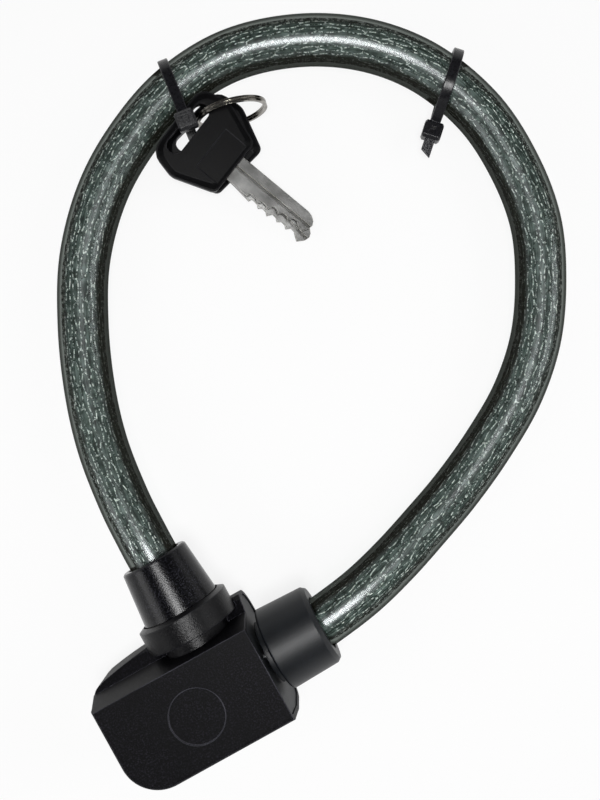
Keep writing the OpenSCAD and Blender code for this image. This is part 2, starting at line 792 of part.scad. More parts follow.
// Outline of the bow, drawn in by g
module bow_outline(g) {
    polygon(rounded([[-g, -bow_shoulder + g], [-g, bow_shoulder - g],
        [-bow_wide_u, bow_half_w - g], [-bow_l + g, bow_back - g],
        [-bow_l + g, -bow_back + g], [-bow_wide_u, -bow_half_w + g]],
        [bow_shoulder_r, bow_shoulder_r, bow_side_r, bow_back_r, bow_back_r, bow_side_r]));
}

module key_bow() {
    color("#232427") difference() {
        union() {
            translate([0, 0, -bow_core_t / 2]) linear_extrude(bow_core_t) bow_outline(0);
            for (s = [0, 1]) mirror([0, 0, s]) hull() {
                translate([0, 0, bow_core_t / 2 - 0.01]) linear_extrude(0.01) bow_outline(0.4);
                translate([0, 0, bow_t / 2 - 0.01]) linear_extrude(0.01) bow_outline(bow_rim);
            }
        }
        translate([0, 0, -bow_t]) linear_extrude(2 * bow_t) slot_outline(0);
        translate([0, 0, -blade_t / 2 - 0.03]) linear_extrude(blade_t + 0.06) tang_outline(0.03);
        // Bare sunk panel on each face
        for (s = [0, 1]) mirror([0, 0, s])
            block([panel_u0, -panel_half_w, bow_t / 2 - panel_depth], [panel_u1, panel_half_w, bow_t]);
    }
}

// Part of the blade that is moulded into the bow
module tang_outline(grow) {
    translate([-tang_l, -blade_w / 2 - grow]) square([tang_l + cut, blade_w + 2 * grow]);
}

// The bitting: the depths cut into the blade's edge, one for each wafer
bitting = [1.2, 1.5, 2.5, 2.9, 3.6];
module blade_outline() {
    h = blade_w / 2;
    first = 7.9;
    tip = 3.4;
    step = (blade_l - first - tip) / len(bitting);
    cuts = [for (i = [0:len(bitting) - 1]) let (x = first + (i + 0.5) * step)
        each [[x - step * 0.2, -h + bitting[i]], [x + step * 0.2, -h + bitting[i]],
            [x + step * 0.5, -h + bitting[i] - 0.7]]];
    polygon(concat([[-tang_l + 0.1, -h], [first, -h], [first + 0.3, -h + 1.1]], cuts,
        [[blade_l - 1.8, -h + 2.1], [blade_l - 0.3, -h + 4.1], [blade_l, h - 2.6],
            [blade_l - 0.6, h - 1.4], [blade_l - 2, h - 0.4], [blade_l - 3.6, h],
            [-tang_l + 0.1, h]]));
}

module key_blade() {
    color("#c8cacb") difference() {
        translate([0, 0, -blade_t / 2]) linear_extrude(blade_t) blade_outline();
        for (s = [-1, 1]) translate([blade_l / 2, key_groove_v, s * blade_t / 2])
            cube([blade_l + cut, key_groove_w, 2 * key_groove_t], center = true);
    }
}

module upper_key_blade() hung_key(1, 0, 0, 0) key_blade();
module upper_key_bow() hung_key(1, 0, 0, 0) key_bow();
module lower_key_blade() hung_key(-1, lower_key_slip, lower_key_side, lower_key_yaw) key_blade();
module lower_key_bow() hung_key(-1, lower_key_slip, lower_key_side, lower_key_yaw) key_bow();

// Split ring of two flattened turns, through the slots and leaning on the keys
module key_ring() {
    r = ring_r;
    w = ring_wire;
    color("#c3c5c6") translate([hang_x, hang_y, ring_z]) rotate([0, 0, key_yaw])
        translate([ring_slot_u, ring_slot_v, 0]) rotate([0, 0, ring_yaw - key_yaw])
            translate([r, 0, 0]) rotate([ring_lean, 0, 0]) rotate_extrude()
                polygon([[r - w * 0.6, -w], [r + w * 0.6, -w], [r + w * 0.6, -0.15],
                    [r + w * 0.4, 0], [r + w * 0.6, 0.15], [r + w * 0.6, w],
                    [r - w * 0.6, w], [r - w * 0.6, 0.15], [r - w * 0.4, 0],
                    [r - w * 0.6, -0.15]]);
}

// ---- Ties ----

// Band round the circles given as [across, up, radius], in a (across, z) plane
module band_outline(circles) {
    difference() {
        hull() for (c = circles) translate([c[0], c[1]]) circle(c[2] + strap_t, $fn = 32);
        hull() for (c = circles) translate([c[0], c[1]]) circle(c[2], $fn = 32);
    }
}

// The head that a tie's strap locks in, with its corners rounded
module tie_head(radii) {
    linear_extrude(head_w) polygon(rounded(
        [[0, 0], [head_l, 0], [head_l, head_t], [0, head_t]], radii));
}

// Round the cable and down through the slots of both keys
module key_tie() {
    cable_r = cable_d / 2 + tie_gap;
    stack = bow_t + key_gap / 2;
    top_z = hang_z + stack + key_tie_over;
    low_z = hang_z - stack - key_tie_under;
    slot_at = hang_y - key_tie_y;
    color("#242528") translate([key_tie_x, key_tie_y, 0]) rotate([0, 0, key_tie_yaw])
        rotate([90, 0, 90]) translate([0, 0, -strap_w / 2]) {
            linear_extrude(strap_w) band_outline([[-key_tie_play, tie_cable_z, cable_r],
                [key_tie_play, tie_cable_z, cable_r], [slot_at + key_tie_top, top_z, tie_bend_r],
                [slot_at + key_tie_low, low_z, tie_bend_r]]);
            translate([slot_at + key_head_at, top_z + tie_bend_r - 0.2,
                (strap_w - head_w) / 2]) rotate([0, 0, key_head_lean])
                tie_head([0.4, 0.4, 0.9, 0.9]);
        }
}

// Round the cable by itself, with its head and cut tail inside the loop
module loop_tie() {
    cable_r = cable_d / 2 + tie_gap;
    neck_at = cable_r + loop_neck;
    head_at = neck_at + loop_neck_r + strap_t - 0.6;
    color("#242528") translate([loop_tie_x, loop_tie_y, 0]) rotate([0, 0, loop_tie_yaw])
        rotate([90, 0, 0]) translate([0, 0, -strap_w / 2]) {
            linear_extrude(strap_w) band_outline([[-loop_play, tie_cable_z, cable_r],
                [loop_play, tie_cable_z, cable_r], [neck_at, loop_neck_z, loop_neck_r]]);
            translate([head_at, loop_neck_z - head_t / 2, (strap_w - head_w) / 2])
                tie_head([0.4, 0.9, 0.9, 0.4]);
            translate([head_at + head_l - 0.4, loop_neck_z + 0.2, 0])
                rotate([0, 0, -loop_tail_lean]) translate([0, strap_t, 0]) rotate([90, 0, 0])
                linear_extrude(strap_t) polygon([[0, 0], [loop_tail_l, 0],
                    [loop_tail_l - loop_tail_cut, strap_w], [0, strap_w]]);
        }
}

back_shell();
front_cover();
end_plate();
lock_case();
latch_cover();
cylinder_housing();
cylinder_pin();
cylinder_plug();
wafers();
wafer_springs();
plug_clip();
drive_cam();
latch();
locking_bolt();
removable_ferrule();
fixed_stub();
stub_pin();
fixed_collar();
cable_jacket();
cable_rope();
upper_key_blade();
upper_key_bow();
lower_key_blade();
lower_key_bow();
key_ring();
key_tie();
loop_tie();
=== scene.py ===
"""Looks of a keyed cable lock: black body, clear-jacketed steel cable, two keys and two ties."""
import math
import random

import bpy
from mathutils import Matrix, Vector


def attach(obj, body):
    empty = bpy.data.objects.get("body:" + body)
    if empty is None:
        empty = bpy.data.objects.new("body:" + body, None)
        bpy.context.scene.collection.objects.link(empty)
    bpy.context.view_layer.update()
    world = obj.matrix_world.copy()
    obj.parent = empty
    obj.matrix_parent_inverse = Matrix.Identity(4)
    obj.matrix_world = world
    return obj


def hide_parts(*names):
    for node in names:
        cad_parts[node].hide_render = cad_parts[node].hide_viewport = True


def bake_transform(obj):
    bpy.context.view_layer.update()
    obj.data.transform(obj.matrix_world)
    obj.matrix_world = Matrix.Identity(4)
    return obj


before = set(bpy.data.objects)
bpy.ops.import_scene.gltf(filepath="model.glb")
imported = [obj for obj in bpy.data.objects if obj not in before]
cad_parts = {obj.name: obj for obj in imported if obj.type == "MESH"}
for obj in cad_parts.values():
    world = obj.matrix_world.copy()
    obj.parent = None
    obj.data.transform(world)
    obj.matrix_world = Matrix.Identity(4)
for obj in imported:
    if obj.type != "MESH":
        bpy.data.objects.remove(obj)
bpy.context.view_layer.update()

MM = 0.001


# ---- Camera: straight above the loop, turned so that the lock body lies at the lower left ----

IMAGE_H = 800
FOCAL_PX = 866
SENSOR_MM = 36
CAMERA_AT = (59.85, 60.1, 270)
CAMERA_TURN = -29
NEAREST_SEEN = 10

camera_data = bpy.data.cameras.new("camera")
camera_data.sensor_width = SENSOR_MM
camera_data.lens = SENSOR_MM * FOCAL_PX / IMAGE_H
camera_data.clip_start = NEAREST_SEEN * MM
camera = bpy.data.objects.new("camera", camera_data)
camera.location = Vector(CAMERA_AT) * MM
camera.rotation_euler = (0, 0, math.radians(CAMERA_TURN))
bpy.context.scene.collection.objects.link(camera)
bpy.context.scene.camera = camera


# ---- Mesh helpers ----

def piece(name, points, faces, material, smooth=True):
    """A mesh piece, with its points in millimetres."""
    mesh = bpy.data.meshes.new(name)
    mesh.from_pydata([Vector(p) * MM for p in points], [], faces)
    mesh.update()
    for face in mesh.polygons:
        face.use_smooth = smooth
    obj = bpy.data.objects.new(name, mesh)
    bpy.context.scene.collection.objects.link(obj)
    mesh.materials.append(material)
    return obj


def on_curve(a, b, c, d, t):
    """A point between b and c on the smooth curve through a, b, c and d."""
    return 0.5 * (2 * b + (c - a) * t + (2 * a - 5 * b + 4 * c - d) * t ** 2
                  + (3 * b - a - 3 * c + d) * t ** 3)


def smooth_line(points, steps):
    """A line through the points with this many steps between each two."""
    p = [Vector(q) for q in points]
    line = []
    for i in range(len(p) - 1):
        before, after = p[max(i - 1, 0)], p[min(i + 2, len(p) - 1)]
        line += [on_curve(before, p[i], p[i + 1], after, k / steps) for k in range(steps)]
    return line + [p[-1]]


# Half the stretch over which the direction of a line is taken
LOOK_AHEAD = 0.5


class Line:
    """A line with a place, a direction and two side directions at each length along it."""

    def __init__(self, points):
        self.points = points
        self.at = [0.0]
        for a, b in zip(points, points[1:]):
            self.at.append(self.at[-1] + (b - a).length)
        self.length = self.at[-1]

    def place(self, s):
        s = min(max(s, 0.0), self.length)
        low, high = 0, len(self.at) - 1
        while high - low > 1:
            mid = (low + high) // 2
            low, high = (mid, high) if self.at[mid] <= s else (low, mid)
        t = (s - self.at[low]) / (self.at[high] - self.at[low])
        return self.points[low].lerp(self.points[high], t)

    def frame(self, s):
        """Place, side and up at s, square to the line."""
        ahead = (self.place(s + LOOK_AHEAD) - self.place(s - LOOK_AHEAD)).normalized()
        side = ahead.cross(Vector((0, 0, 1))).normalized()
        return self.place(s), side, side.cross(ahead)

    def beside(self, s, angle, r):
        """A point r from the line at length s, at this angle round it."""
        centre, side, up = self.frame(s)
        return centre + r * (math.cos(angle) * side + math.sin(angle) * up)


def tube(rings):
    """Points and faces of a closed tube through rings that have the same number of points."""
    n = len(rings[0])
    points = [p for ring in rings for p in ring]
    faces = []
    for i in range(len(rings) - 1):
        for k in range(n):
            a, b = i * n + k, i * n + (k + 1) % n
            faces.append((a, a + n, b + n, b))
    faces.append(tuple(range(n)))
    faces.append(tuple(range(len(points) - 1, len(points) - n - 1, -1)))
    return points, faces


def joined_up(parts):
    """One list of points and one of faces from parts that each have their own."""
    points, faces = [], []
    for more_points, more_faces in parts:
        faces += [tuple(i + len(points) for i in face) for face in more_faces]
        points += more_points
    return points, faces


# ---- Materials ----

def srgb(code):
    """Linear colour of an sRGB hex code."""
    parts = [int(code[i:i + 2], 16) / 255 for i in (1, 3, 5)]
    return [c / 12.92 if c <= 0.04045 else ((c + 0.055) / 1.055) ** 2.4 for c in parts] + [1.0]


def add(tree, kind, sockets=None, **settings):
    """Adds a node, with its settings, and its sockets as values or as links."""
    node = tree.nodes.new(kind)
    for name, value in settings.items():
        setattr(node, name, value)
    for name, value in (sockets or {}).items():
        if isinstance(value, bpy.types.NodeSocket):
            tree.links.new(value, node.inputs[name])
        else:
            node.inputs[name].default_value = value
    return node


def new_material(name):
    """A material and its node tree, still empty."""
    material = bpy.data.materials.new(name)
    material.use_nodes = True
    tree = material.node_tree
    tree.nodes.clear()
    return material, tree


def finish_material(tree, surface):
    """Ends the tree in the output, with this shader as the surface."""
    out = add(tree, "ShaderNodeOutputMaterial")
    tree.links.new(surface, out.inputs["Surface"])


def per_mm(size_mm):
    """Pattern scale, in cells per metre, of a pattern whose cells are this many millimetres."""
    return 1 / (size_mm * MM)


def ramp(tree, factor, stops):
    """Colour ramp with stops of (position, hex)."""
    node = add(tree, "ShaderNodeValToRGB", {"Fac": factor})
    elements = node.color_ramp.elements
    while len(elements) < len(stops):
        elements.new(0.5)
    for element, (position, code) in zip(elements, stops):
        element.position = position
        element.color = srgb(code)
    return node.outputs["Color"]


def fade(tree, factor, low, high, a, b):
    """Maps factor from low..high to a..b."""
    node = add(tree, "ShaderNodeMapRange", {
        "Value": factor, "From Min": low, "From Max": high, "To Min": a, "To Max": b})
    return node.outputs["Result"]


# Samples of each Bevel and Ambient Occlusion node
EDGE_SAMPLES = 6


def noise(tree, place, size_mm, **more):
    """Noise with cells of about this size, from 0 to 1."""
    sockets = {"Vector": place, "Scale": per_mm(size_mm)}
    sockets.update(more)
    return add(tree, "ShaderNodeTexNoise", sockets).outputs["Fac"]


def calc(tree, operation, a, b):
    """The value of one operation on a and b."""
    return add(tree, "ShaderNodeMath", {0: a, 1: b}, operation=operation).outputs["Value"]


def mixed(tree, share, a, b):
    """Colour a, with this share of colour b."""
    return add(tree, "ShaderNodeMix", {"Factor": share, "A": a, "B": b},
               data_type="RGBA").outputs["Result"]


def edges(tree, width_mm):
    """The normal with its edges rounded, and how alike it is to the plain one: 1 off the edges."""
    rounded = add(tree, "ShaderNodeBevel", {"Radius": width_mm * MM},
                  samples=EDGE_SAMPLES).outputs["Normal"]
    flat = add(tree, "ShaderNodeNewGeometry").outputs["Normal"]
    alike = add(tree, "ShaderNodeVectorMath", {0: rounded, 1: flat},
                operation="DOT_PRODUCT").outputs["Value"]
    return rounded, alike


def moulded(name, dark, light, grain_mm, grain_depth_mm, rough, speckle, edge_mm, specular,
            edge_highlight):
    """A fine-grained surface, with lighter tops of its grain and a painted highlight along its
    edges, in another shade.
    """
    patch_mm = 14
    material, tree = new_material(name)
    place = add(tree, "ShaderNodeTexCoord").outputs["Object"]
    grain = noise(tree, place, grain_mm, Detail=3.0, Roughness=0.6)
    patches = noise(tree, place, patch_mm, Detail=2.0)
    tops = calc(tree, "MULTIPLY", fade(tree, grain, 0.5, 0.78, 0.0, speckle),
                  fade(tree, patches, 0.35, 0.65, 0.55, 1.45))
    colour = mixed(tree, tops, srgb(dark), srgb(light))
    # Painted highlight: the edges are lightened toward the edge_highlight colour, unevenly by
    # patches
    edge, alike = edges(tree, edge_mm)
    edge_highlight_share = calc(tree, "MULTIPLY", fade(tree, alike, 0.99, 0.9, 0.0, 1.0),
                  fade(tree, patches, 0.35, 0.6, 0.35, 1.0))
    colour = mixed(tree, edge_highlight_share, colour, srgb(edge_highlight))
    roughness = calc(tree, "ADD", fade(tree, patches, 0.3, 0.7, rough - 0.02, rough + 0.02),
                       fade(tree, grain, 0.3, 0.7, -0.05, 0.05))
    bump = add(tree, "ShaderNodeBump", {
        "Height": grain, "Distance": grain_depth_mm * MM, "Strength": 1.0, "Normal": edge})
    shader = add(tree, "ShaderNodeBsdfPrincipled", {
        "Base Color": colour, "Roughness": roughness, "Normal": bump.outputs["Normal"],
        "Specular IOR Level": specular})
    finish_material(tree, shader.outputs["BSDF"])
    return material


def worked_metal(name, dark, light, line_mm, rough, stretch, depth_mm=0.01, edge_mm=0.15):
    """Metal with tool or drawing lines, with a painted highlight on its edges and painted shade in
    its grooves.
    """
    stain_mm = 5
    groove_mm = 0.9
    material, tree = new_material(name)
    place = add(tree, "ShaderNodeTexCoord").outputs["Object"]
    lines_at = add(tree, "ShaderNodeMapping", {"Vector": place, "Scale": stretch})
    lines = noise(tree, lines_at.outputs["Vector"], line_mm, Detail=3.0)
    stain = noise(tree, place, stain_mm, Detail=4.0)
    colour = mixed(tree, fade(tree, stain, 0.35, 0.7, 0.0, 1.0), srgb(dark), srgb(light))
    roughness = fade(tree, lines, 0.3, 0.7, rough - 0.06, rough + 0.08)
    edge, alike = edges(tree, edge_mm)
    # Painted highlight: a pale warm tone along the edges
    colour = mixed(tree, fade(tree, alike, 0.99, 0.88, 0.0, 0.8), colour, srgb("#e2dccb"))
    # Painted shade: darker where the surface is closed in, in grooves and cuts
    open_to = add(tree, "ShaderNodeAmbientOcclusion", {"Distance": groove_mm * MM},
                  samples=EDGE_SAMPLES).outputs["AO"]
    colour = mixed(tree, fade(tree, open_to, 0.9, 0.45, 0.0, 0.85), colour, srgb("#16150f"))
    bump = add(tree, "ShaderNodeBump", {
        "Height": lines, "Distance": depth_mm * MM, "Strength": 0.6, "Normal": edge})
    shader = add(tree, "ShaderNodeBsdfPrincipled", {
        "Base Color": colour, "Roughness": roughness, "Normal": bump.outputs["Normal"],
        "Metallic": 1.0})
    finish_material(tree, shader.outputs["BSDF"])
    return material


def clear_vinyl():
    """Clear PVC, extruded over the core: a smoky tint, with painted shade at the rim and on the
    inside of the loop, and a soft wavy gloss.
    """
    wave_mm = 7
    wave_depth_mm = 0.25
    pvc_ior = 1.53
    skin_share = 0.065
    material, tree = new_material("extruded_clear_pvc")
    place = add(tree, "ShaderNodeTexCoord").outputs["Object"]
    waves = noise(tree, place, wave_mm, Detail=2.0)
    bump = add(tree, "ShaderNodeBump", {
        "Height": waves, "Distance": wave_depth_mm * MM, "Strength": 0.4}).outputs["Normal"]
    # The view through is sharp, and the gloss of the skin over it is soft
    through = add(tree, "ShaderNodeBsdfRefraction", {
        "Color": srgb("#dbe1dd"), "Roughness": 0.03, "IOR": pvc_ior, "Normal": bump})
    skin = add(tree, "ShaderNodeBsdfGlossy", {
        "Color": srgb("#eef2f4"), "Roughness": 0.26, "Normal": bump})
    glass = add(tree, "ShaderNodeMixShader", {
        "Fac": skin_share, 1: through.outputs["BSDF"], 2: skin.outputs["BSDF"]})
    # Painted shade at the rim, beyond the real dimming of grazing light in smoky PVC: a dark sheet
    # mixed in as the skin turns from the view, with a lighter line painted in it
    facing = add(tree, "ShaderNodeLayerWeight", {"Blend": 0.5}).outputs["Facing"]
    rim_shade = ramp(tree, facing, [
        (0.2, "#000000"), (0.33, "#e8e8e8"), (0.48, "#d6d6d6"), (0.62, "#f2f2f2")])
    # Painted shade on the inside of the loop: the dark sheet reaches further in from the rim there
    inner = add(tree, "ShaderNodeAttribute", attribute_name="inner").outputs["Fac"]
    inner_shade_by_facing = ramp(tree, facing, [(0.1, "#000000"), (0.2, "#f2f2f2"), (0.6, "#f8f8f8")])
    inner_shade = calc(tree, "MULTIPLY", inner_shade_by_facing, fade(tree, inner, 0.3, 0.5, 0.0, 1.0))
    rim_and_inner_shade = calc(tree, "MAXIMUM", rim_shade, inner_shade)
    # Painted shade: the dark sheet that the rim and the inside of the loop are mixed toward
    dark = add(tree, "ShaderNodeBsdfPrincipled", {
        "Base Color": srgb("#1c1c17"), "Roughness": 0.6, "Specular IOR Level": 0.0})
    jacket_look = add(tree, "ShaderNodeMixShader", {
        "Fac": rim_and_inner_shade, 1: glass.outputs["Shader"], 2: dark.outputs["BSDF"]})
    # Lamps reach the core through the jacket, a little dimmed
    rays = add(tree, "ShaderNodeLightPath")
    let_through = add(tree, "ShaderNodeBsdfTransparent", {"Color": srgb("#e4eae6")})
    both = add(tree, "ShaderNodeMixShader", {
        "Fac": rays.outputs["Is Shadow Ray"], 1: jacket_look.outputs["Shader"],
        2: let_through.outputs["BSDF"]})
    finish_material(tree, both.outputs["Shader"])
    return material


def wire_core():
    """Galvanised steel wire, stranded: grey-green, with fine dark lines along the cable."""
    wire_mm = 0.35
    wire_depth_mm = 0.12
    blotch_mm = 2.5
    material, tree = new_material("stranded_galvanised_wire")
    along = add(tree, "ShaderNodeAttribute", attribute_name="along").outputs["Vector"]
    wires_at = add(tree, "ShaderNodeMapping", {"Vector": along, "Scale": (1, 1, 0.06)})
    wires = noise(tree, wires_at.outputs["Vector"], wire_mm, Detail=3.0)
    blotches = noise(tree, along, blotch_mm, Detail=3.0)
    shade = calc(tree, "ADD", fade(tree, wires, 0.3, 0.7, 0.0, 0.6),
                   fade(tree, blotches, 0.35, 0.65, 0.0, 0.4))
    colour = ramp(tree, shade, [(0.0, "#0c110f"), (0.4, "#38423f"), (1.0, "#7a8583")])
    bump = add(tree, "ShaderNodeBump", {
        "Height": wires, "Distance": wire_depth_mm * MM, "Strength": 1.0})
    shader = add(tree, "ShaderNodeBsdfPrincipled", {
        "Base Color": colour, "Roughness": 0.6, "Specular IOR Level": 0.15,
        "Normal": bump.outputs["Normal"]})
    finish_material(tree, shader.outputs["BSDF"])
    return material


def knitted_wire():
    """Tinned steel thread, knitted into a sleeve: dull, with glints painted in spots along it."""
    glint_mm = 0.9
    material, tree = new_material("knitted_tinned_wire")
    place = add(tree, "ShaderNodeTexCoord").outputs["Object"]
    painted_glints = noise(tree, place, glint_mm, Detail=3.0, Roughness=0.7)
    # Painted glints: the thread's colour runs up to white in spots
    colour = ramp(tree, painted_glints, [(0.42, "#262e2b"), (0.51, "#7e8886"), (0.59, "#ffffff")])
    shader = add(tree, "ShaderNodeBsdfPrincipled", {
        "Base Color": colour, "Roughness": 0.5, "Specular IOR Level": 0.05})
    finish_material(tree, shader.outputs["BSDF"])
    return material


# Glass-filled nylon from a spark-eroded mould: nearly black, its even grain drawn a little coarse
body_nylon = moulded(
    "moulded_glass_filled_nylon", dark="#08080a", light="#302e37", grain_mm=0.45,
    grain_depth_mm=0.06, rough=0.5, speckle=0.5, edge_mm=0.5, specular=0.08, edge_highlight="#56565e")
# The plate is the same nylon in grey, from a smoother mould
plate_nylon = moulded(
    "moulded_grey_nylon", dark="#2c2e31", light="#4a4d51", grain_mm=0.4,
    grain_depth_mm=0.012, rough=0.5, speckle=0.4, edge_mm=0.2, specular=0.12, edge_highlight="#66696d")
# Zinc die casting under a thin black coat: smooth, with a broad soft gloss
cast_zinc = moulded(
    "coated_zinc_die_casting", dark="#060608", light="#1c1c21", grain_mm=0.45,
    grain_depth_mm=0.08, rough=0.32, speckle=0.4, edge_mm=0.5, specular=0.22, edge_highlight="#2c2c31")
# Powder coat with a grain, drawn a little coarse: sparkles where the light is straight on it
collar_coat = moulded(
    "textured_powder_coat", dark="#040406", light="#3a3a44", grain_mm=0.45,
    grain_depth_mm=0.045, rough=0.2, speckle=0.6, edge_mm=0.5, specular=0.25, edge_highlight="#242429")
# The ferrule's coat is smoother and satin
ferrule_coat = moulded(
    "satin_powder_coat", dark="#0a0d11", light="#222a35", grain_mm=0.3,
    grain_depth_mm=0.02, rough=0.46, speckle=0.4, edge_mm=0.5, specular=0.42, edge_highlight="#2b2f36")
# ABS from a lightly grained mould: the bows of the keys
bow_abs = moulded(
    "moulded_abs", dark="#060607", light="#1a1a1d", grain_mm=0.5,
    grain_depth_mm=0.01, rough=0.42, speckle=0.35, edge_mm=0.35, specular=0.08, edge_highlight="#37373b")
# Nylon 6.6 as moulded: black, almost smooth and satin
tie_nylon = moulded(
    "moulded_nylon_66", dark="#121215", light="#25252b", grain_mm=0.8,
    grain_depth_mm=0.003, rough=0.28, speckle=0.3, edge_mm=0.25, specular=0.3, edge_highlight="#303036")
# Nickel silver, rolled flat: mid grey with fine rolling lines along the blade
key_nickel = worked_metal(
    "rolled_nickel_silver", dark="#494948", light="#6c6c6b", line_mm=0.12, rough=0.34,
    stretch=(1, 0.12, 1))
# Nickel-plated spring wire: smooth and bright
ring_nickel = worked_metal(
    "plated_spring_wire", dark="#5c5954", light="#a3a09a", line_mm=0.2, rough=0.2,
    stretch=(1, 1, 1), depth_mm=0.003, edge_mm=0.08)
# Zinc-plated steel, turned or stamped
plated_steel = worked_metal(
    "zinc_plated_steel", dark="#84878a", light="#b4b7ba", line_mm=0.12, rough=0.34,
    stretch=(0.15, 1, 1))
# Hardened steel bolt, ground and plated
ground_steel = worked_metal(
    "ground_plated_steel", dark="#9a9da0", light="#cfd2d4", line_mm=0.1, rough=0.24,
    stretch=(1, 0.15, 0.15))
# Free-cutting brass, turned
turned_brass = worked_metal(
    "turned_brass", dark="#8a7440", light="#c2a765", line_mm=0.12, rough=0.32,
    stretch=(1, 0.15, 0.15))

NODE_MATERIALS = {
    "back_shell": body_nylon, "front_cover": body_nylon, "end_plate": plate_nylon,
    "lock_case": cast_zinc, "latch_cover": plated_steel, "cylinder_housing": turned_brass,
    "cylinder_pin": plated_steel, "cylinder_plug": turned_brass, "wafers": turned_brass,
    "wafer_springs": plated_steel, "plug_clip": plated_steel, "drive_cam": plated_steel,
    "latch": plated_steel, "locking_bolt": ground_steel, "removable_ferrule": ferrule_coat,
    "fixed_stub": plated_steel, "stub_pin": plated_steel, "fixed_collar": collar_coat,
    "upper_key_blade": key_nickel, "upper_key_bow": bow_abs, "lower_key_blade": key_nickel,
    "lower_key_bow": bow_abs, "key_ring": ring_nickel}
for node_name, node_material in NODE_MATERIALS.items():
    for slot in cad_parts[node_name].material_slots:
        slot.material = node_material


# ---- Cable ----

# Centre line from the removable end round to the fixed end, in millimetres, as in the solids
ROUTE = [
    (22.6, 0, 16.5), (28, 0, 16.5), (34, 0.2, 16.5), (48, 2, 15.7), (61, 5, 13.8),
    (74, 9, 11.6), (88, 14, 10), (103, 21, 9.2), (118, 30, 9), (131, 42, 9), (141, 57, 9),
    (148, 73, 9), (150.5, 91, 9), (149, 110, 9), (141.5, 129, 9), (129, 144, 9),
    (112, 155, 9), (92, 161, 9), (72, 160, 9), (54, 153.5, 9), (38, 143.5, 9),
    (24, 129, 9), (14, 112, 9.3), (6.5, 94, 10.3), (2, 77, 12.2), (0.2, 60, 14.6), (0, 47, 16.2),
    (0, 40, 16.5), (0, 33, 16.5), (0, 26.6, 16.5)]
# The jacket is drawn a hair inside the radius of its solid
JACKET_R = 7.48
CORE_R = 3.75
# Length of the line that lies hidden in the ferrule, and again in the collar
MOUTH_S = 10.5
# Spacing of the rings along the cable, steps between two points of the route, and sides
CABLE_STEP = 2.0
ROUTE_STEPS = 12
JACKET_SIDES = 56
CORE_SIDES = 40

line = Line(smooth_line(ROUTE, ROUTE_STEPS))
first_s, last_s = MOUTH_S, line.length - MOUTH_S
ring_count = int((last_s - first_s) / CABLE_STEP) + 1
ring_at = [first_s + (last_s - first_s) * i / (ring_count - 1) for i in range(ring_count)]


def cable_tube(name, r, sides, material):
    """A round tube along the cable, marked with what its material needs to know of each point."""
    turns = [2 * math.pi * k / sides for k in range(sides)]
    points, faces = tube([[line.beside(s, a, r) for a in turns] for s in ring_at])
    obj = piece(name, points, faces, material)
    # Where each point lies, unrolled: two numbers round the core and one along the cable
    flat = obj.data.attributes.new("along", "FLOAT_VECTOR", "POINT")
    unrolled = [(r * math.cos(a) * MM, r * math.sin(a) * MM, s * MM)
                for s in ring_at for a in turns]
    for value, here in zip(flat.data, unrolled):
        value.vector = here
    # How far each point lies to the inside of the loop, from -1 to 1
    inner = obj.data.attributes.new("inner", "FLOAT", "POINT")
    for value, a in zip(inner.data, turns * len(ring_at)):
        value.value = -math.cos(a)
    return obj


jacket = cable_tube("cable_clear_jacket", JACKET_R, JACKET_SIDES, clear_vinyl())
core = cable_tube("cable_wire_core", CORE_R, CORE_SIDES, wire_core())

# One knitted loop, as (across in loop widths, along in loop lengths)
LOOP_SHAPE = [(-0.1, 1.12), (-0.26, 0.86), (-0.36, 0.58), (-0.33, 0.3), (-0.18, 0.08), (0, 0),
              (0.18, 0.08), (0.33, 0.3), (0.36, 0.58), (0.26, 0.86), (0.1, 1.12)]
WALES = 11
LOOP_LENGTH = 7.1
THREAD_R = 0.16
TWIST_PER_MM = 0.0016
# Loops are this much narrower or wider than a wale, and lean this share of one to a side
WIDEN = (0.8, 1.15)
LEAN = (-0.12, 0.12)
# Height of the thread over the core at a loop's ends, and what its middle adds
LIFT = 0.06
ARCH = 0.12
ARCH_SHARE = 0.9
# The last loops stop this far from the end of the jacket
SLEEVE_END = 1
SLEEVE_SEED = 4


def thread(path):
    """Four-sided thread along a path of (length along the cable, angle round it, radius)."""
    rings = []
    for j, (s, angle, r) in enumerate(path):
        here = line.beside(s, angle, r)
        before = line.beside(*path[max(j - 1, 0)])
        after = line.beside(*path[min(j + 1, len(path) - 1)])
        ahead = (after - before).normalized()
        out = (here - line.place(s)).normalized()
        side = ahead.cross(out).normalized()
        rings.append([here + THREAD_R * (math.cos(a) * side + math.sin(a) * side.cross(ahead))
                      for a in (0, math.pi / 2, math.pi, 3 * math.pi / 2)])
    return tube(rings)


def knitted_sleeve():
    """Rows of long knitted loops that wind slowly round the core."""
    draw = random.Random(SLEEVE_SEED)
    loops = []
    count = int((last_s - first_s) / LOOP_LENGTH)
    for wale in range(WALES):
        shift = draw.random() * LOOP_LENGTH
        for k in range(count):
            base = first_s + shift + k * LOOP_LENGTH
            widen, lean = draw.uniform(*WIDEN), draw.uniform(*LEAN)
            path = []
            for across, along in LOOP_SHAPE:
                s = base + along * LOOP_LENGTH
                turn = (wale + across * widen + lean * along) / WALES + s * TWIST_PER_MM
                r = CORE_R + LIFT + ARCH * math.sin(math.pi * along * ARCH_SHARE)
                path.append((s, 2 * math.pi * turn, r))
            if path[-1][0] <= last_s - SLEEVE_END:
                loops.append(thread(path))
    return piece("cable_knitted_sleeve", *joined_up(loops), knitted_wire())


sleeve = knitted_sleeve()


# ---- Ties ----

# Strap: width, thickness and broken corners, and its steps round what it holds
STRAP_W = 3.1
STRAP_T = 1.1
STRAP_CORNER = 0.2
STRAP_STEPS = 144
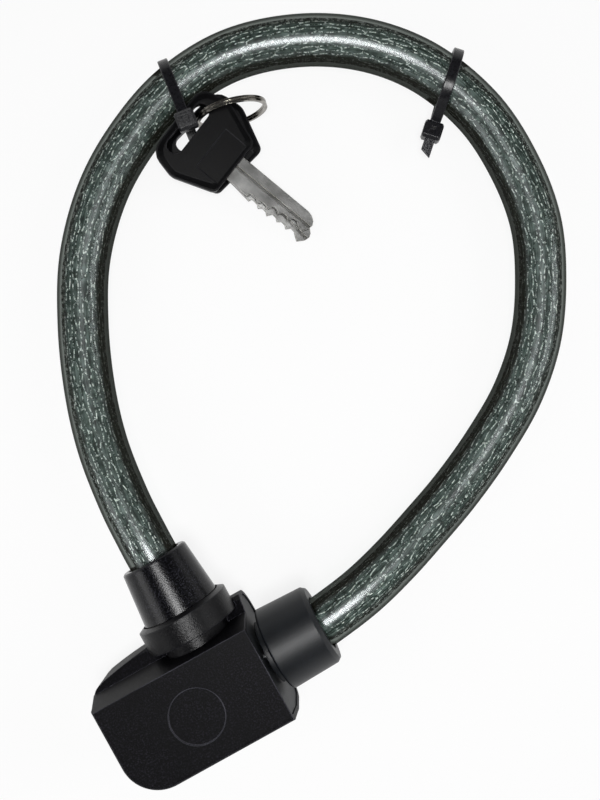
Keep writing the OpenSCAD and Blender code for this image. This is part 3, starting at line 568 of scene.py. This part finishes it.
# Head: length along the strap, width, thickness, rounding at its sides, foot and shoulders
HEAD_L = 5.4
HEAD_W = 5.8
HEAD_T = 4.4
HEAD_CORNER = 0.5
HEAD_FOOT = 0.3
HEAD_SHOULDER = 0.8
# Pocket of the pawl: its depth, and the corners of its mouth as (along, sideways)
POCKET_DEPTH = 1.3
POCKET_MOUTH = [(HEAD_L - 1.5, -1.1), (1.9, -0.8), (1.9, 0.8), (HEAD_L - 1.5, 1.1)]
TOOTH_PITCH = 0.45
TOOTH_DEPTH = 0.15
# Inner radius of a strap where it lies on the cable
CABLE_HOLD_R = 7.8


def tie_place(centre, turn, across, up, side):
    """A point of a tie from its own across, up and sideways, with the tie turned about z."""
    a = math.radians(turn)
    x = centre[0] + across * math.cos(a) + side * math.sin(a)
    y = centre[1] + across * math.sin(a) - side * math.cos(a)
    return Vector((x, y, up))


def strap_band(circles):
    """A strap drawn tight round circles of (across, up, radius), with its corners broken."""
    half, c = STRAP_W / 2, STRAP_CORNER
    section = [(0, -half + c), (c, -half), (STRAP_T - c, -half), (STRAP_T, -half + c),
               (STRAP_T, half - c), (STRAP_T - c, half), (c, half), (0, half - c)]
    sides = len(section)
    points = []
    for k in range(STRAP_STEPS):
        a = 2 * math.pi * k / STRAP_STEPS
        x, z, r = max(circles, key=lambda q: q[0] * math.cos(a) + q[1] * math.sin(a) + q[2])
        points += [(x + (r + t) * math.cos(a), z + (r + t) * math.sin(a), side)
                   for t, side in section]
    faces = []
    for i in range(STRAP_STEPS):
        for k in range(sides):
            a, b = i * sides + k, i * sides + (k + 1) % sides
            faces.append((a, b, (b + sides) % len(points), (a + sides) % len(points)))
    return points, faces


def leant(at, lean, points):
    """Points of (along, up, sideways), leant over by this angle and moved to their place."""
    turned = math.radians(lean)
    return [(at[0] + x * math.cos(turned) - z * math.sin(turned),
             at[1] + x * math.sin(turned) + z * math.cos(turned), side) for x, z, side in points]


def tie_head(at, lean):
    """The head, with the pocket of its pawl sunk in the top."""
    half, c = HEAD_W / 2, HEAD_CORNER
    foot, shoulder = HEAD_FOOT, HEAD_SHOULDER
    outline = [(0, foot), (foot, 0), (HEAD_L - foot, 0), (HEAD_L, foot),
               (HEAD_L, HEAD_T - shoulder), (HEAD_L - shoulder, HEAD_T), (shoulder, HEAD_T),
               (0, HEAD_T - shoulder)]
    sides, top = len(outline), 5
    mid = (HEAD_L / 2, HEAD_T / 2)
    points = []
    for side, shrink in ((-half, c), (-half + c, 0), (half - c, 0), (half, c)):
        points += [(mid[0] + (x - mid[0]) * (1 - 2 * shrink / HEAD_L),
                    mid[1] + (z - mid[1]) * (1 - 2 * shrink / HEAD_T), side) for x, z in outline]
    faces = []
    for i in range(3):
        for k in range(sides):
            if (i, k) != (1, top):
                a, b = i * sides + k, i * sides + (k + 1) % sides
                faces.append((a, a + sides, b + sides, b))
    body = len(points)
    faces += [tuple(range(sides)), tuple(range(body - 1, body - 1 - sides, -1))]
    # The pocket's mouth and floor, in the top face between its four corners
    corners = [sides + top, sides + top + 1, 2 * sides + top + 1, 2 * sides + top]
    for depth in (0, POCKET_DEPTH):
        points += [(x, HEAD_T - depth, side) for x, side in POCKET_MOUTH]
    for k in range(4):
        a, b = body + k, body + (k + 1) % 4
        faces += [(corners[k], a, b, corners[(k + 1) % 4]), (a, a + 4, b + 4, b)]
    faces.append(tuple(range(body + 4, body + 8)))
    return leant(at, lean, points), faces


def strap_tail(at, lean, long_side, short_side):
    """The cut end of the strap, snipped off at a slant, with fine teeth across its top."""
    half = STRAP_W / 2
    steps = 2 * int(long_side / TOOTH_PITCH)
    points, faces = [], []
    for i in range(steps + 1):
        dip = TOOTH_DEPTH if i % 2 else 0.0
        for side, reach in ((-half, long_side), (half, short_side)):
            points += [(i / steps * reach, z, side) for z in (0, STRAP_T - dip)]
    for i in range(steps):
        a = 4 * i
        faces += [(a, a + 4, a + 5, a + 1), (a + 1, a + 5, a + 7, a + 3),
                  (a + 3, a + 7, a + 6, a + 2), (a + 2, a + 6, a + 4, a)]
    last = 4 * steps
    faces += [(0, 1, 3, 2), (last, last + 2, last + 3, last + 1)]
    return leant(at, -lean, points), faces


def cable_tie(name, centre, turn, circles, head_at, head_lean, tail=None):
    """A tie round the cable and what it holds: strap, head and, where it shows, the cut end."""
    parts = [strap_band(circles), tie_head(head_at, head_lean)]
    if tail:
        parts.append(strap_tail(*tail))
    points, faces = joined_up(parts)
    points = [tie_place(centre, turn, *p) for p in points]
    obj = piece(name, points, faces, tie_nylon, smooth=False)
    return obj


# The key tie runs round the cable and through the holes of both bows
key_tie = cable_tie(
    "key_cable_tie", centre=(71.9, 159.9), turn=83,
    circles=[(-0.5, 9, CABLE_HOLD_R), (0.5, 9, CABLE_HOLD_R), (-12.1, 18.3, 0.9),
             (-13.6, 5.1, 0.9)],
    head_at=(-16.3, 19.0), head_lean=8)
# The loop tie runs round the cable alone, a little wide of it on the inside of the loop
loop_tie = cable_tie(
    "loop_cable_tie", centre=(145.2, 122.1), turn=223.4,
    circles=[(-1.1, 9, CABLE_HOLD_R), (1.1, 9, CABLE_HOLD_R), (10.4, 7.2, 1.2)],
    head_at=(12.1, 5.0), head_lean=0, tail=((17.1, 7.4), 14, 5.6, 3.8))
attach(key_tie, "lock")
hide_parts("key_tie")
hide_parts("loop_tie")

# The cable's pieces and the loop tie keep the place they are drawn in, and the model's own cable
# solids are hidden
for soft, name in ((jacket, "clear_jacket"), (core, "rope_steel"), (sleeve, "rope_steel"),
                   (loop_tie, "tie_nylon")):
    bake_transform(soft)
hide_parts("cable_jacket")
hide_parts("cable_rope")
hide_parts("cable_rope")


# ---- Studio ----

# How much of the paper shows plain white, and how pale the studio's walls show over it
PAPER_SHARE = 0.85
WALL_WHITE = 0.87
CEILING_WHITE = 0.07
# What the walls and the ceiling add to the light of the lamps
WALL_LIGHT = 0.03
CEILING_LIGHT = 0.15
# Half the width of the floor, so wide that a low view doesn't show its edge as a line
FLOOR_HALF = 5000


def seen_as_such(tree):
    """1 for a ray that sees the background, straight, mirrored or through glass, and else 0."""
    rays = add(tree, "ShaderNodeLightPath")
    seen = rays.outputs["Is Camera Ray"]
    for kind in ("Is Glossy Ray", "Is Transmission Ray"):
        seen = calc(tree, "MAXIMUM", seen, rays.outputs[kind])
    return seen


def studio_floor():
    """White paper: shows white to the eye and keeps a soft shadow."""
    material, tree = new_material("white_paper")
    share = calc(tree, "MULTIPLY", seen_as_such(tree), PAPER_SHARE)
    paper = add(tree, "ShaderNodeBsdfDiffuse", {"Color": srgb("#f2f2f2")})
    white = add(tree, "ShaderNodeEmission", {"Color": (1, 1, 1, 1), "Strength": 1.0})
    both = add(tree, "ShaderNodeMixShader", {
        "Fac": share, 1: paper.outputs["BSDF"], 2: white.outputs["Emission"]})
    finish_material(tree, both.outputs["Shader"])
    return material


floor = piece("floor", [(-FLOOR_HALF, -FLOOR_HALF, 0), (FLOOR_HALF, -FLOOR_HALF, 0),
                        (FLOOR_HALF, FLOOR_HALF, 0), (-FLOOR_HALF, FLOOR_HALF, 0)],
              [(0, 1, 2, 3)], studio_floor(), smooth=False)


def softbox(name, place, aim, size, watts):
    """A square lamp of this size, aimed at a point."""
    data = bpy.data.lights.new(name, "AREA")
    data.shape = "SQUARE"
    data.size = size * MM
    data.energy = watts
    lamp = bpy.data.objects.new(name, data)
    lamp.location = Vector(place) * MM
    lamp.rotation_euler = (Vector(aim) - Vector(place)).to_track_quat("-Z", "Y").to_euler()
    bpy.context.scene.collection.objects.link(lamp)


softbox("lamp_over_camera", (37, 2, 560), (60, 60, 0), size=180, watts=2.35)
softbox("lamp_left", (-560, 120, 380), (40, 60, 0), size=300, watts=0.8)
softbox("lamp_right", (560, -180, 420), (60, 60, 0), size=300, watts=0.8)

world = bpy.data.worlds.new("studio")
world.use_nodes = True
sky = world.node_tree
sky.nodes.clear()
up = add(sky, "ShaderNodeSeparateXYZ", {
    0: add(sky, "ShaderNodeTexCoord").outputs["Generated"]}).outputs["Z"]
# The walls of the studio show pale, as high as a low view reaches, and the ceiling is dim
strength = add(sky, "ShaderNodeMix", {
    "Factor": seen_as_such(sky), "A": fade(sky, up, 0.0, 0.9, WALL_LIGHT, CEILING_LIGHT),
    "B": fade(sky, up, 0.3, 0.4, WALL_WHITE, CEILING_WHITE)}, data_type="FLOAT")
background = add(sky, "ShaderNodeBackground", {
    "Color": (1, 1, 1, 1), "Strength": strength.outputs["Result"]})
add(sky, "ShaderNodeOutputWorld", {"Surface": background.outputs["Background"]})
bpy.context.scene.world = world
bpy.context.scene.view_settings.view_transform = "Standard"
